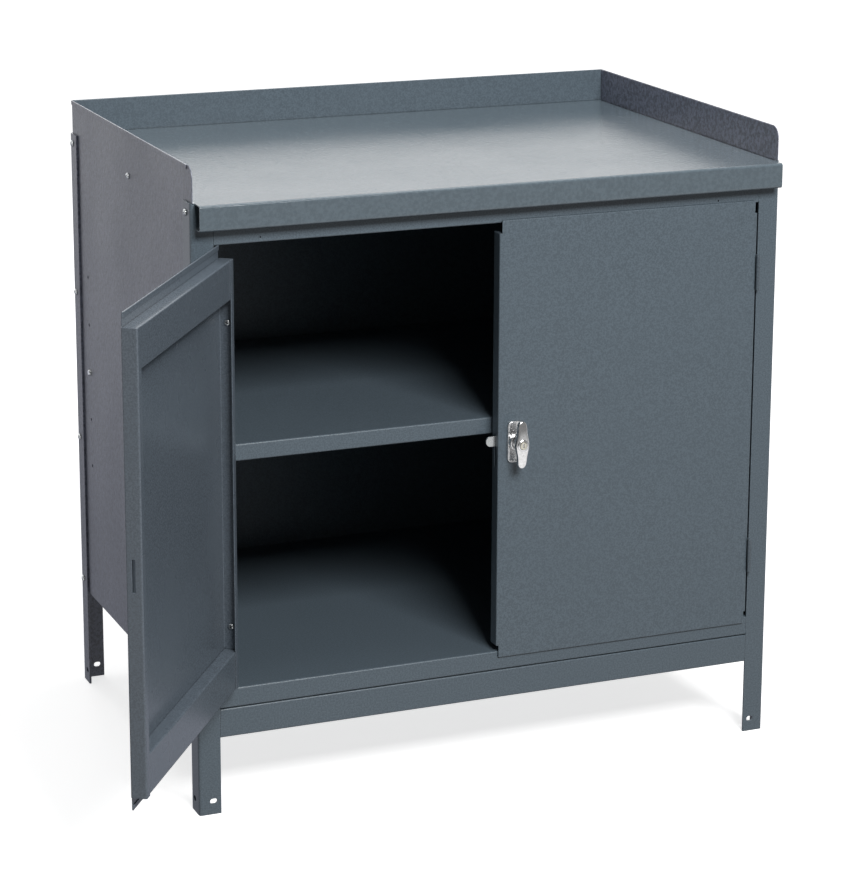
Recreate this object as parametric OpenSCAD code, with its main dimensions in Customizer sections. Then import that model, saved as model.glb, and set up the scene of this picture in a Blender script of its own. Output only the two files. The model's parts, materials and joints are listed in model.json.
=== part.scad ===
// Bench-height steel storage cabinet. Four angle posts run down to the floor as legs and hold
// sheet side and back panels, which carry on upwards as low stops round a lipped worktop.
// Inside are a fixed bottom shelf and a shelf that screws to one of five heights. Two pan doors
// hang on butt hinges; the right one has a locking handle whose cam reaches into the left one.
//
// Frame: the origin is on the floor at the outer corner of the front left post, +X runs to the
// right, the doors face -Y and +Z is up. All sizes are in millimetres.

/* [Overall] */
// Width over the posts
cabinet_w = 914; // [760:1:1200]
// Depth over the posts
cabinet_d = 610; // [450:1:760]
// Height of the worktop's upper face above the floor
worktop_z = 896; // [780:1:1100]
// Height of the back and side stops above the worktop
stop_h = 51; // [30:1:100]

/* [Posts] */
// Width of each leg of the angle
post_leg = 33; // [30:0.5:50]
// Thickness of the angle
post_t = 3; // [2:0.1:5]
// Outer radius of the angle's corner
post_bend_r = 4; // [3.5:0.5:6]
// Length of the floor fixing slots
slot_l = 11; // [9:0.5:16]
// Width of the floor fixing slots
slot_w = 8; // [5:0.5:8.5]
// Height of the floor fixing slots above the floor
slot_z = 20; // [12:1:60]
// Distance of the slots from the post's outer corner
slot_inset = 21.5; // [16:0.5:24]

/* [Panels] */
// Thickness of the side and back sheets
panel_t = 1.2; // [0.8:0.1:2]
// Height of the panels' lower edges
panel_bottom_z = 155; // [120:1:156]
// Radius of the side stops' front upper corners
stop_corner_r = 18; // [5:1:25]
// Height of the hems along the stops' upper edges
stop_hem_h = 6.5; // [4:0.5:10]

/* [Worktop] */
// Thickness of the worktop sheet
top_t = 2; // [1.2:0.1:3]
// Height of the worktop's front lip
lip_h = 37; // [30:1:45]
// Distance that the lip stands in front of the posts
lip_out = 22; // [12:1:40]
// Distance of the lip's ends from the cabinet's sides
lip_inset = 7; // [5.5:0.5:15]
// Depth of the fold under the lip
lip_return = 14; // [6:1:16]
// Height of the fold along the worktop's rear edge
rear_fold_h = 18; // [10:0.5:20]
// Outer radius of the worktop's bends
top_bend_r = 4; // [3.5:0.5:6]

/* [Rails] */
// Thickness of the rails and of the bottom shelf
rail_t = 1.5; // [1:0.1:2]
// Depth of the rails from front to back
rail_depth = 24; // [15:1:35]
// Height of the kick rail's lower edge
kick_bottom_z = 115; // [60:1:130]
// Height of the sill, which is the bottom shelf's front fold
sill_h = 29; // [24:1:40]
// Height of the top of the bottom shelf
bottom_shelf_z = 188; // [180:1:230]
// Open joint between the sill and the kick rail
rail_joint = 0.8; // [0.5:0.1:2]
// Open joint between the rails' ends and the posts
post_joint = 0.5; // [0.2:0.1:1.5]
// Height of top rail that shows below the worktop's lip
rail_show = 24; // [15:1:60]
// Outer radius of the rails' bends
rail_bend_r = 2.5; // [2.5:0.5:4]
// Radius of the small holes in the top rail
rail_hole_r = 1.3; // [0.8:0.1:1.6]
// Distance of those holes from the posts
rail_hole_in = 68; // [20:1:120]

/* [Middle shelf] */
// Height of the shelf's upper face
shelf_z = 541; // [420:1:640]
// Height of the shelf's folded edges
shelf_fold = 25; // [20:1:35]
// Thickness of the shelf sheet
shelf_t = 1.2; // [0.8:0.1:2]
// Distance of the shelf's front edge behind the posts' front faces
shelf_setback = 26; // [24:1:80]
// Gap behind the shelf
shelf_rear_gap = 5; // [1:1:30]
// Step between the shelf's fixing heights
shelf_pitch = 76; // [40:1:80]
// Number of fixing heights above the one in use, and as many below it
shelf_spare = 2; // [0:1:2]
// Distance of the shelf's screws from the front and back faces
shelf_screw_inset = 72; // [60:1:120]

/* [Doors] */
// Thickness of the door sheet
door_t = 1.2; // [0.8:0.1:1.5]
// Depth of the door pan
door_depth = 22; // [20:1:24]
// Gap between the two closed doors
door_gap = 8; // [6:0.5:12]
// Height by which a door laps over the top rail
lap_top = 4; // [3:0.5:8]
// Height by which a door laps over the sill
lap_sill = 9; // [4:0.5:12]
// Height of the flat strip beyond the ends of the door's side folds
door_strip = 19; // [15:0.5:24]
// Height of the hems along the door's top and bottom edges
hem_h = 7; // [5:0.5:9]
// Amount that the strips are cut in at the door's corners
corner_cut = 4; // [3:0.5:6]
// Gap between the back of the hems and the rails
hem_clear = 0.8; // [0.4:0.1:1.5]
// Width of the folds that face into the cabinet
door_return = 13; // [10:1:16]
// Height of the channels across the top and bottom of each door
channel_h = 56; // [40:1:80]
// Outer radius of the door's bends
door_bend_r = 2.2; // [2:0.1:3]
// Angle at which the left door stands open
left_open = 125; // [0:1:165]

/* [Hinges] */
// Height of a hinge
hinge_h = 52; // [44:1:70]
// Distance of each hinge's middle from the door's end
hinge_from_end = 109; // [90:1:150]
// Thickness of the hinge leaves
leaf_t = 1.5; // [1.2:0.1:2]
// Gap between the two leaves
leaf_clear = 0.4; // [0.35:0.05:0.6]
// Reach of the door leaf along the door's side fold
door_leaf_reach = 19; // [17:0.5:19.5]
// Reach of the frame leaf behind the post
frame_leaf_reach = 21; // [15:0.5:22]
// Radius of the knuckles
knuckle_r = 3; // [2.8:0.1:4]
// Radius of the hinge pin
pin_r = 1.5; // [1:0.1:1.8]
// Radial clearance of the pin in the knuckles
pin_clear = 0.05; // [0.02:0.01:0.1]
// End gap between neighbouring knuckles
knuckle_gap = 0.4; // [0.35:0.05:0.8]
// Thickness of the pin's heads
pin_head_t = 1; // [0.6:0.1:2]
// Radius of the pin's heads
pin_head_r = 2.3; // [2.2:0.1:2.6]

/* [Handle] */
// Height of the handle's axis above the door's lower edge
handle_up = 331; // [250:1:410]
// Distance of the handle's axis from the door's free edge
handle_in = 28; // [26:0.5:34]
// Width of the escutcheon
plate_w = 28; // [27:0.5:34]
// Height of the escutcheon
plate_h = 62; // [56:1:80]
// Thickness of the escutcheon's plate
plate_t = 4; // [4:0.5:6]
// Radius of the escutcheon's corners
plate_r = 7; // [4:0.5:10]
// Height of the escutcheon's collar above its plate
collar_h = 6; // [6:0.5:8]
// Radius of the escutcheon's collar
collar_r = 13.2; // [13:0.1:13.4]
// Radius of the handle's hub
hub_r = 9; // [8.5:0.1:9.2]
// Length of the grip
grip_l = 71; // [50:1:90]
// Width of the grip at its middle
grip_w = 22; // [18:0.5:26]
// Width of the grip at its ends
grip_end_w = 15; // [10:0.5:18]
// Thickness of the grip
grip_t = 12; // [9:0.5:16]
// Distance from the door's face to the back of the grip
grip_out = 17; // [15:0.5:26]
// Radius of the handle's shaft
shaft_r = 6; // [5:0.1:7]
// Radial clearance of the shaft and hub in the escutcheon
shaft_clear = 0.08; // [0.03:0.01:0.1]
// Width across the shaft's square
square_w = 7.8; // [6:0.1:8]
// Clearance between the square and the cam
square_clear = 0.1; // [0.05:0.05:0.3]

/* [Lock] */
// Radius of the key plug
plug_r = 5.5; // [4.5:0.1:6]
// Radial clearance of the key plug
plug_clear = 0.05; // [0.02:0.01:0.1]
// Offset of the plug's driving peg from its axis
peg_offset = 3; // [2:0.1:3.2]
// Radius of the driving peg
peg_r = 1.2; // [0.8:0.1:1.3]
// Width of the lock bolt
bolt_w = 7; // [6:0.1:8]
// Thickness of the lock bolt
bolt_t = 2.8; // [2:0.1:3]
// Clearance round the lock bolt
bolt_clear = 0.35; // [0.3:0.05:0.5]

/* [Latch] */
// Length of the cam from the handle's axis to its tip
cam_l = 43; // [40:0.5:50]
// Width of the cam
cam_w = 15; // [12:0.5:17]
// Thickness of the cam
cam_t = 3; // [2:0.1:3.5]
// Distance of the cam's middle behind the door's face
cam_depth = 10.5; // [10:0.1:12]
// Clearance of the cam in the doors' slots
cam_clear = 0.8; // [0.5:0.1:1.5]
// Height that each slot reaches above the handle's axis
slot_above = 10; // [9:0.5:14]
// Height that the left door's slot reaches below the handle's axis
left_slot_below = 34; // [32:0.5:40]
// Height that the right door's slot reaches below the handle's axis
right_slot_below = 38; // [37:0.5:46]

/* [Fasteners] */
// Radius of the panel and shelf screws
screw_r = 2.5; // [2:0.1:3]
// Radius of the screws' heads
screw_head_r = 4.8; // [4:0.1:5.5]
// Height of the screws' heads
screw_head_h = 3.4; // [1.5:0.1:4]
// Width across the nuts' corners, halved
nut_r = 4.6; // [4:0.1:5.2]
// Thickness of the nuts
nut_t = 4; // [2.5:0.1:4.5]
// Radial clearance of the screws in their holes
hole_clear = 0.25; // [0.1:0.05:0.5]
// Radial clearance of a thread in its nut or tapped hole
thread_clear = 0.03; // [0:0.01:0.08]
// Distance of the front panel screws behind the front
front_screw_inset = 20; // [16:0.5:21]
// Distance of the rear panel screws from the rear posts' outer corners
rear_screw_inset = 13; // [12:0.5:16]
// Distance of the top panel screws below the worktop's face
top_screw_drop = 15; // [12:0.5:20]
// Radius of the small screws for hinges and escutcheon
small_screw_r = 2; // [1.5:0.1:2.2]
// Radius of the small screws' heads
small_head_r = 4.4; // [3.5:0.1:4.4]
// Height of the small screws' heads
small_head_h = 2.7; // [1.5:0.1:2.8]

/* [Hidden] */

$fn = 48;
// Straight pieces in each quarter bend of a sheet
bend_steps = 4;
// Amount that a cut runs past the face it opens
past = 1;
// Length by which the stops' hems end short of their rounded corners
hem_short = 3;

// Side panels lie against the inner faces of the posts
panel_in = post_t + panel_t;
inner_w = cabinet_w - 2 * panel_in;
back_front_y = cabinet_d - post_t - panel_t;
stop_z = worktop_z + stop_h;

// Heights up the front
top_under_z = worktop_z - top_t;
lip_z = worktop_z - lip_h;
opening_top = lip_z - rail_show;
sill_bottom_z = bottom_shelf_z - sill_h;
kick_top_z = sill_bottom_z - rail_joint;
rail_between = cabinet_w - 2 * (post_leg + post_joint);
rail_hole_z = opening_top + lap_top + rail_hole_r + 2;

// Doors: u runs from the hinge edge to the free edge, v from the outer face inwards
pin_gap = 2 * leaf_t + leaf_clear;
door_x = post_leg + pin_gap;
door_w = (cabinet_w - door_gap) / 2 - door_x;
door_z = bottom_shelf_z - lap_sill;
door_h = opening_top + lap_top - door_z;
door_face_y = -2 * door_t - hem_clear;
web_v = door_depth - door_t;
hinge_levels = [hinge_from_end, door_h - hinge_from_end];

// Hinge pins stand clear in front of the door's face, over the middle of the gap
pin_x = post_leg + pin_gap / 2;
pin_front_gap = 0.3;
pin_y = door_face_y - knuckle_r - pin_front_gap;
knuckle_h = (hinge_h - 2 * knuckle_gap) / 3;
leaf_start = knuckle_r + knuckle_gap;
hinge_screw_v = 12;

// Handle: d runs outwards from the door's face
handle_z = door_z + handle_up;
handle_x = cabinet_w - (door_x + door_w - handle_in);
seat_d = 3;
face_gap = 0.3;
hub_start = seat_d + face_gap;
bolt_d = 5.9;
bolt_reach = sqrt(pow(hub_r - face_gap, 2) - pow(bolt_w / 2, 2));
bolt_top = 5.2;
bolt_travel = peg_offset;
plug_back = 11.5;
grip_front = grip_out + grip_t;
cam_front = cam_depth - cam_t / 2;
cam_back = cam_depth + cam_t / 2;
washer_t = 1.4;
washer_r = 7;
cam_nut_t = 5;
cam_nut_r = 5.6;
stud_r = 3;
stud_past = 1;
plate_screw_up = 22;
peg_room = 0.6;
plug_proud = 0.6;
keyway_w = 1.6;
keyway_h = 6.5;
keyway_deep = 9;
bolt_slack = 0.95;
grip_chamfer = 2.5;
grip_end_drop = 0.5;
plate_chamfer = 1;
plate_skin = 0.5;

// Screw positions, from the floor and from the front face
screw_z_low = sill_bottom_z + sill_h / 2;
screw_z_top = worktop_z - top_screw_drop;
screw_rows = 4;
screw_step = (screw_z_top - screw_z_low) / (screw_rows - 1);
screw_heights = [for (i = [0 : screw_rows - 1]) screw_z_low + i * screw_step];
back_rise = 22;
back_shift = 4;
back_heights = [for (i = [0 : screw_rows - 1])
    screw_heights[i] + (i < screw_rows - 1 ? back_rise : -back_rise)];
post_columns = [front_screw_inset, cabinet_d - rear_screw_inset];
back_columns = [rear_screw_inset + back_shift, cabinet_w - rear_screw_inset - back_shift];
shelf_columns = [shelf_screw_inset, cabinet_d - shelf_screw_inset];
shelf_screw_z = shelf_z - shelf_fold / 2;
shelf_heights = [for (i = [-shelf_spare : shelf_spare]) shelf_screw_z + i * shelf_pitch];
screw_past = 2;
crown_ratio = 0.75;

// ---- Sheet metal ----

function unit(v) = v / norm(v);
function left_of(v) = [-v[1], v[0]];
function spin(v, q) = [v[0] * cos(q) - v[1] * sin(q), v[0] * sin(q) + v[1] * cos(q)];
function heading(route, i) = unit(route[i + 1] - route[i]);
function turn(a, b) = atan2(a[0] * b[1] - a[1] * b[0], a * b);
function backwards(v) = [for (i = [len(v) - 1 : -1 : 0]) v[i]];

// The points of one bend, off to the left of the route by o
function bend(corner, a, q, r, o) =
    let (centre = corner - a * r * tan(abs(q) / 2) + left_of(a) * r * sign(q))
    [for (j = [0 : bend_steps]) centre + left_of(spin(a, q * j / bend_steps)) * (o - r * sign(q))];

// One face of a bent sheet: the route moved to the left by o, its corners rounded to r
function sheet_face(route, r, o) = concat(
    [route[0] + left_of(heading(route, 0)) * o],
    [for (i = [1 : len(route) - 2])
        let (a = heading(route, i - 1))
        each bend(route[i], a, turn(a, heading(route, i)), r, o)],
    [route[len(route) - 1] + left_of(heading(route, len(route) - 2)) * o]);

// Cross-section of a sheet whose outer face follows the route, with the metal on its left
module bent_sheet(route, t, r) {
    polygon(concat(sheet_face(route, r, 0), backwards(sheet_face(route, r, t))));
}

// Extrudes a [y, z] section along +X
module along_x(length) {
    rotate([90, 0, 90]) linear_extrude(length) children();
}

// Extrudes a [x, z] section along +Y
module along_y(length) {
    translate([0, length, 0]) rotate([90, 0, 0]) linear_extrude(length) children();
}

// Cylinders that start at the origin and run along +X, +Y or -Y
module rod_x(r, length) {
    rotate([0, 90, 0]) cylinder(r = r, h = length);
}

module rod_y(r, length) {
    rotate([-90, 0, 0]) cylinder(r = r, h = length);
}

module rod_out(r, length) {
    rotate([90, 0, 0]) cylinder(r = r, h = length);
}

// A level slot through a wall that lies across Y, centred at the origin
module slot_y(length, width, depth) {
    reach = (length - width) / 2;
    translate([-reach, -depth / 2, -width / 2]) cube([2 * reach, depth, width]);
    for (side = [-1, 1]) translate([side * reach, -depth / 2, 0]) rod_y(width / 2, depth);
}

// ---- Placing ----

module mirrored_right() {
    translate([cabinet_w, 0, 0]) mirror([1, 0, 0]) children();
}

module mirrored_rear() {
    translate([0, cabinet_d, 0]) mirror([0, 1, 0]) children();
}

// The left door's pieces, swung open about their pins
module left_door() {
    translate([pin_x, pin_y, 0]) rotate([0, 0, -left_open])
        translate([door_x - pin_x, door_face_y - pin_y, door_z]) children();
}

// The right door's pieces, closed
module right_door() {
    mirrored_right() translate([door_x, door_face_y, door_z]) children();
}

// The handle's pieces, from its axis at the right door's face
module at_handle() {
    translate([handle_x, door_face_y, handle_z]) children();
}

// ---- Posts ----

// Angle with its corner at the origin and its legs along +X and +Y
module post_angle() {
    linear_extrude(worktop_z) bent_sheet([[0, post_leg], [0, 0], [post_leg, 0]], post_t, post_bend_r);
}

module post_cuts(inset) {
    translate([slot_inset, post_t / 2, slot_z]) slot_y(slot_l, slot_w, post_t + 2 * past);
    translate([post_t / 2, slot_inset, slot_z]) rotate([0, 0, 90]) slot_y(slot_l, slot_w, post_t + 2 * past);
    for (z = screw_heights) translate([-past, inset, z]) rod_x(screw_r + hole_clear, post_t + 2 * past);
}

// The worktop runs over the front posts' front legs, so they stop below it
module front_post_shape() {
    difference() {
        post_angle();
        post_cuts(front_screw_inset);
        translate([post_t + past / 2, -past, top_under_z]) cube([post_leg, post_t + 2 * past, top_t + past]);
    }
}

module rear_post_shape() {
    difference() {
        post_angle();
        post_cuts(rear_screw_inset);
        for (z = back_heights)
            translate([back_columns[0], -past, z]) rod_y(screw_r + hole_clear, post_t + 2 * past);
    }
}

module front_left_post() {
    color("slategray") front_post_shape();
}

module front_right_post() {
    color("slategray") mirrored_right() front_post_shape();
}

module rear_left_post() {
    color("slategray") mirrored_rear() rear_post_shape();
}

module rear_right_post() {
    color("slategray") mirrored_right() mirrored_rear() rear_post_shape();
}

// ---- Panels ----

// Outline of a side sheet: its stop runs further forward than the part behind the post
module side_outline() {
    difference() {
        translate([0, panel_bottom_z]) square([cabinet_d - post_bend_r, stop_z - panel_bottom_z]);
        translate([-past, panel_bottom_z - past])
            square([post_bend_r + past, worktop_z - panel_bottom_z + past]);
        translate([-past, stop_z - stop_corner_r]) square([stop_corner_r + past, stop_corner_r + past]);
    }
    translate([stop_corner_r, stop_z - stop_corner_r]) intersection() {
        circle(r = stop_corner_r);
        translate([-stop_corner_r, 0]) square(stop_corner_r);
    }
}

// Hem along +Y at a stop's upper edge, on a sheet whose outer face is at x = 0 and looks to -X
module stop_hem(length) {
    translate([-panel_t, 0, stop_z - stop_hem_h]) cube([panel_t, length, stop_hem_h - panel_t]);
    translate([0, 0, stop_z - panel_t]) rod_y(panel_t, length);
}

// Room for the hem's round edge in that sheet
module stop_hem_cut(length) {
    translate([-past, 0, stop_z - panel_t]) cube([panel_t + 2 * past, length, panel_t + past]);
}

module side_panel_shape() {
    hem_y = stop_corner_r + hem_short;
    hem_l = cabinet_d - post_bend_r - hem_y;
    translate([post_t, hem_y, 0]) stop_hem(hem_l);
    difference() {
        translate([post_t, 0, 0]) along_x(panel_t) side_outline();
        translate([post_t, hem_y, 0]) stop_hem_cut(hem_l + past);
        for (y = post_columns) for (z = screw_heights)
            translate([post_t - past, y, z]) rod_x(screw_r + hole_clear, panel_t + 2 * past);
        translate([post_t - past, cabinet_d / 2, screw_z_top])
            rod_x(screw_r + hole_clear, panel_t + 2 * past);
        for (y = shelf_columns) for (z = shelf_heights)
            translate([post_t - past, y, z]) rod_x(screw_r + hole_clear, panel_t + 2 * past);
    }
}

module left_side_panel() {
    color("slategray") side_panel_shape();
}

module right_side_panel() {
    color("slategray") mirrored_right() side_panel_shape();
}

// Turns what runs along +Y and faces -X so that it runs along +X and faces the rear
module along_back() {
    translate([panel_in + hem_short, back_front_y + panel_t, 0]) rotate([0, 0, -90]) children();
}

module back_panel() {
    hem_l = inner_w - 2 * hem_short;
    color("slategray") {
        along_back() stop_hem(hem_l);
        difference() {
            translate([panel_in, back_front_y, panel_bottom_z])
                cube([inner_w, panel_t, stop_z - panel_bottom_z]);
            along_back() stop_hem_cut(hem_l);
            for (x = back_columns) for (z = back_heights)
                translate([x, back_front_y - past, z]) rod_y(screw_r + hole_clear, panel_t + 2 * past);
        }
    }
}

// ---- Worktop ----

// Lip along the front, folded under at its lower edge
module worktop_lip() {
    translate([lip_inset, 0, 0]) along_x(cabinet_w - 2 * lip_inset) bent_sheet([
        [0, worktop_z], [-lip_out, worktop_z], [-lip_out, lip_z], [lip_return - lip_out, lip_z]],
        top_t, top_bend_r);
}

// Sheet between the stops, folded down at its sides and along its rear edge
module worktop_sheet() {
    fold_end_y = back_front_y - top_bend_r;
    translate([panel_in, 0, top_under_z]) cube([inner_w, post_bend_r, top_t]);
    translate([0, post_bend_r, 0]) along_y(fold_end_y - post_bend_r) bent_sheet([
        [cabinet_w - panel_in, lip_z], [cabinet_w - panel_in, worktop_z], [panel_in, worktop_z],
        [panel_in, lip_z]], top_t, top_bend_r);
    translate([panel_in + top_bend_r, 0, 0]) along_x(inner_w - 2 * top_bend_r) bent_sheet([
        [back_front_y, worktop_z - rear_fold_h], [back_front_y, worktop_z],
        [fold_end_y - top_bend_r, worktop_z]], top_t, top_bend_r);
}

module worktop() {
    color("slategray") difference() {
        union() {
            worktop_lip();
            worktop_sheet();
        }
        for (y = [post_columns[0], cabinet_d / 2, post_columns[1]])
            translate([0, y, screw_z_top]) rod_x(screw_r + hole_clear, cabinet_w);
    }
}

// ---- Rails and shelves ----

// Channel open to the back, with its web between the posts and its folds reaching behind them
module channel_rail(low, high, end_x) {
    translate([post_leg + post_joint, 0, 0]) along_x(rail_between)
        bent_sheet([[rail_depth, high], [0, high], [0, low], [rail_depth, low]], rail_t, rail_bend_r);
    for (z = [low, high - rail_t])
        translate([end_x, post_t, z]) cube([cabinet_w - 2 * end_x, rail_depth - post_t, rail_t]);
}

module top_rail() {
    color("slategray") difference() {
        channel_rail(opening_top, top_under_z, panel_in + top_bend_r);
        for (x = [post_leg + rail_hole_in, cabinet_w - post_leg - rail_hole_in])
            translate([x, -past, rail_hole_z]) rod_y(rail_hole_r, rail_t + 2 * past);
    }
}

module kick_rail() {
    color("slategray") channel_rail(kick_bottom_z, kick_top_z, panel_in);
}

module bottom_shelf() {
    color("slategray") difference() {
        union() {
            translate([post_leg + post_joint, 0, 0]) along_x(rail_between) bent_sheet([
                [rail_depth, bottom_shelf_z], [0, bottom_shelf_z], [0, sill_bottom_z],
                [rail_depth / 2, sill_bottom_z]], rail_t, rail_bend_r);
            translate([panel_in, post_t, bottom_shelf_z - rail_t])
                cube([inner_w, back_front_y - post_t, rail_t]);
            for (x = [panel_in, cabinet_w - panel_in - rail_t])
                translate([x, post_t, sill_bottom_z]) cube([rail_t, back_front_y - post_t, sill_h - rail_t / 2]);
            translate([panel_in, back_front_y - rail_t, sill_bottom_z])
                cube([inner_w, rail_t, sill_h - rail_t / 2]);
        }
        for (y = post_columns) translate([0, y, screw_z_low]) rod_x(screw_r + hole_clear, cabinet_w);
    }
}

module middle_shelf() {
    shelf_d = back_front_y - shelf_rear_gap - shelf_setback;
    low = shelf_z - shelf_fold;
    color("slategray") difference() {
        union() {
            translate([panel_in, shelf_setback, 0]) along_x(inner_w) bent_sheet([
                [shelf_d, low], [shelf_d, shelf_z], [0, shelf_z], [0, low], [shelf_fold / 2, low]],
                shelf_t, rail_bend_r);
            for (x = [panel_in, cabinet_w - panel_in - shelf_t])
                translate([x, shelf_setback + shelf_t, low])
                    cube([shelf_t, shelf_d - 2 * shelf_t, shelf_fold - shelf_t / 2]);
        }
        for (y = shelf_columns) translate([0, y, shelf_screw_z]) rod_x(screw_r + hole_clear, cabinet_w);
    }
}

// ---- Panel and shelf fasteners ----

// Pan head that stands on the origin and rises along +X
module screw_head(r, h) {
    rod_x(r, h / 2);
    translate([h / 2, 0, 0]) rotate([0, 90, 0]) cylinder(r1 = r, r2 = r * crown_ratio, h = h / 2);
}

// Pan-head screw: its head's flat side is at the origin, its shank runs along +X
module screw(length) {
    rod_x(screw_r, length);
    mirror([1, 0, 0]) screw_head(screw_head_r, screw_head_h);
}

// Hexagon nut with one face at the origin, running along +X
module nut() {
    difference() {
        rotate([0, 90, 0]) cylinder(r = nut_r, h = nut_t, $fn = 6);
        translate([-past, 0, 0]) rod_x(screw_r + thread_clear, nut_t + 2 * past);
    }
}

// Sheet that the worktop or the bottom shelf puts inside the panel at a row of screws
function inside_sheet(row) = row == 0 ? rail_t : row == screw_rows - 1 ? top_t : 0;

module side_screws() {
    for (y = post_columns) for (row = [0 : screw_rows - 1])
        translate([0, y, screw_heights[row]]) screw(panel_in + inside_sheet(row) + nut_t + screw_past);
    translate([post_t, cabinet_d / 2, screw_z_top]) screw(panel_t + top_t + nut_t + screw_past);
}

module side_nuts() {
    for (y = post_columns) for (row = [0 : screw_rows - 1])
        translate([panel_in + inside_sheet(row), y, screw_heights[row]]) nut();
    translate([panel_in + top_t, cabinet_d / 2, screw_z_top]) nut();
}

module left_panel_screws() {
    color("silver") side_screws();
}

module left_panel_nuts() {
    color("silver") side_nuts();
}

module right_panel_screws() {
    color("silver") mirrored_right() side_screws();
}

module right_panel_nuts() {
    color("silver") mirrored_right() side_nuts();
}

module back_panel_screws() {
    color("silver") for (x = back_columns) for (z = back_heights)
        translate([x, cabinet_d, z]) rotate([0, 0, -90]) screw(post_t + panel_t + nut_t + screw_past);
}

module back_panel_nuts() {
    color("silver") for (x = back_columns) for (z = back_heights)
        translate([x, back_front_y, z]) rotate([0, 0, -90]) nut();
}

module shelf_side_screws() {
    for (y = shelf_columns)
        translate([post_t, y, shelf_screw_z]) screw(panel_t + shelf_t + nut_t + screw_past);
}

module shelf_side_nuts() {
    for (y = shelf_columns) translate([panel_in + shelf_t, y, shelf_screw_z]) nut();
}

module shelf_screws() {
    color("silver") {
        shelf_side_screws();
        mirrored_right() shelf_side_screws();
    }
}

module shelf_nuts() {
    color("silver") {
        shelf_side_nuts();
        mirrored_right() shelf_side_nuts();
    }
}

// ---- Doors, drawn in u, v and height from the door's lower edge ----

// Flat strip along one end of the door with its edge hemmed over
module hemmed_strip() {
    strip_w = door_w - 2 * corner_cut;
    translate([corner_cut, 0, door_t]) cube([strip_w, door_t, door_strip + door_bend_r]);
    translate([corner_cut, 0, door_t]) cube([strip_w, 2 * door_t, hem_h - door_t]);
    translate([corner_cut, door_t, door_t]) rod_x(door_t, strip_w);
}

module door_panel_shape(slot_below) {
    difference() {
        union() {
            translate([0, 0, door_strip]) linear_extrude(door_h - 2 * door_strip) bent_sheet([
                [door_return, door_depth], [0, door_depth], [0, 0], [door_w, 0],
                [door_w, door_depth], [door_w - door_return, door_depth]], door_t, door_bend_r);
            hemmed_strip();
            translate([0, 0, door_h]) mirror([0, 0, 1]) hemmed_strip();
        }
        translate([door_w - door_t - past, cam_front - cam_clear, handle_up - slot_below])
            cube([door_t + 2 * past, cam_t + 2 * cam_clear, slot_above + slot_below]);
        for (level = hinge_levels)
            translate([-past, hinge_screw_v, level]) rod_x(small_screw_r + hole_clear, door_t + 2 * past);
    }
}

// Channel across the door, open to the sheet, lying behind the door's returns
module door_channel_shape() {
    translate([door_bend_r, 0, 0]) along_x(door_w - 2 * door_bend_r)
        bent_sheet([[door_t, 0], [web_v, 0], [web_v, channel_h], [door_t, channel_h]], door_t, door_bend_r);
}

module left_door_panel() {
    color("slategray") left_door() door_panel_shape(left_slot_below);
}

module left_door_top_channel() {
    color("slategray") left_door() translate([0, 0, door_h - door_strip - channel_h]) door_channel_shape();
}

module left_door_bottom_channel() {
    color("slategray") left_door() translate([0, 0, door_strip]) door_channel_shape();
}

module right_door_panel() {
    color("slategray") right_door() difference() {
        door_panel_shape(right_slot_below);
        translate([door_w - handle_in, -past, handle_up]) {
            rod_y(shaft_r + 2 * hole_clear, door_t + 2 * past);
            for (up = [-plate_screw_up, plate_screw_up])
                translate([0, 0, up]) rod_y(small_screw_r + hole_clear, door_t + 2 * past);
        }
    }
}

module right_door_top_channel() {
    color("slategray") right_door() translate([0, 0, door_h - door_strip - channel_h]) door_channel_shape();
}

module right_door_bottom_channel() {
    color("slategray") right_door() translate([0, 0, door_strip]) door_channel_shape();
}

// ---- Hinges, drawn about the pin's axis for a left door, standing on z = 0 ----

module knuckle(low, high) {
    translate([0, 0, low]) cylinder(r = knuckle_r, h = high - low);
}

module pin_bore() {
    translate([0, 0, -past]) cylinder(r = pin_r + pin_clear, h = hinge_h + 2 * past);
}

// Leaf that wraps round the post's edge and lies against the back of its front leg
module frame_leaf_shape() {
    left_x = -pin_gap / 2;
    back_y = post_t - pin_y;
    difference() {
        union() {
            for (low = [0, hinge_h - knuckle_h]) {
                knuckle(low, low + knuckle_h);
                translate([left_x, 0, low]) cube([leaf_t, leaf_start, knuckle_h]);
            }
            translate([left_x, leaf_start, 0]) cube([leaf_t, back_y + leaf_t - leaf_start, hinge_h]);
            translate([left_x + leaf_t - frame_leaf_reach, back_y, 0]) cube([frame_leaf_reach, leaf_t, hinge_h]);
        }
        pin_bore();
    }
}

// Leaf that lies along the outside of the door's hinge fold
module door_leaf_shape() {
    left_x = pin_gap / 2 - leaf_t;
    low = knuckle_h + knuckle_gap;
    face_v = door_face_y - pin_y;
    difference() {
        union() {
            knuckle(low, low + knuckle_h);
            translate([left_x, 0, low]) cube([leaf_t, leaf_start, knuckle_h]);
            translate([left_x, leaf_start, 0]) cube([leaf_t, face_v + door_leaf_reach - leaf_start, hinge_h]);
        }
        pin_bore();
        translate([left_x - past, face_v + hinge_screw_v, hinge_h / 2])
            rod_x(small_screw_r + thread_clear, leaf_t + 2 * past);
    }
}

module pin_shape() {
    cylinder(r = pin_r, h = hinge_h);
    translate([0, 0, -pin_head_t]) cylinder(r = pin_head_r, h = pin_head_t);
    translate([0, 0, hinge_h]) cylinder(r = pin_head_r, h = pin_head_t);
}

// Places a hinge on its pin's axis: level 0 is the lower one and 1 the upper one
module at_pin(level) {
    translate([pin_x, pin_y, door_z + hinge_levels[level] - hinge_h / 2]) children();
}

module on_open_door() {
    rotate([0, 0, -left_open]) children();
}

module left_upper_hinge_frame_leaf() {
    color("slategray") at_pin(1) frame_leaf_shape();
}

module left_lower_hinge_frame_leaf() {
    color("slategray") at_pin(0) frame_leaf_shape();
}

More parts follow.
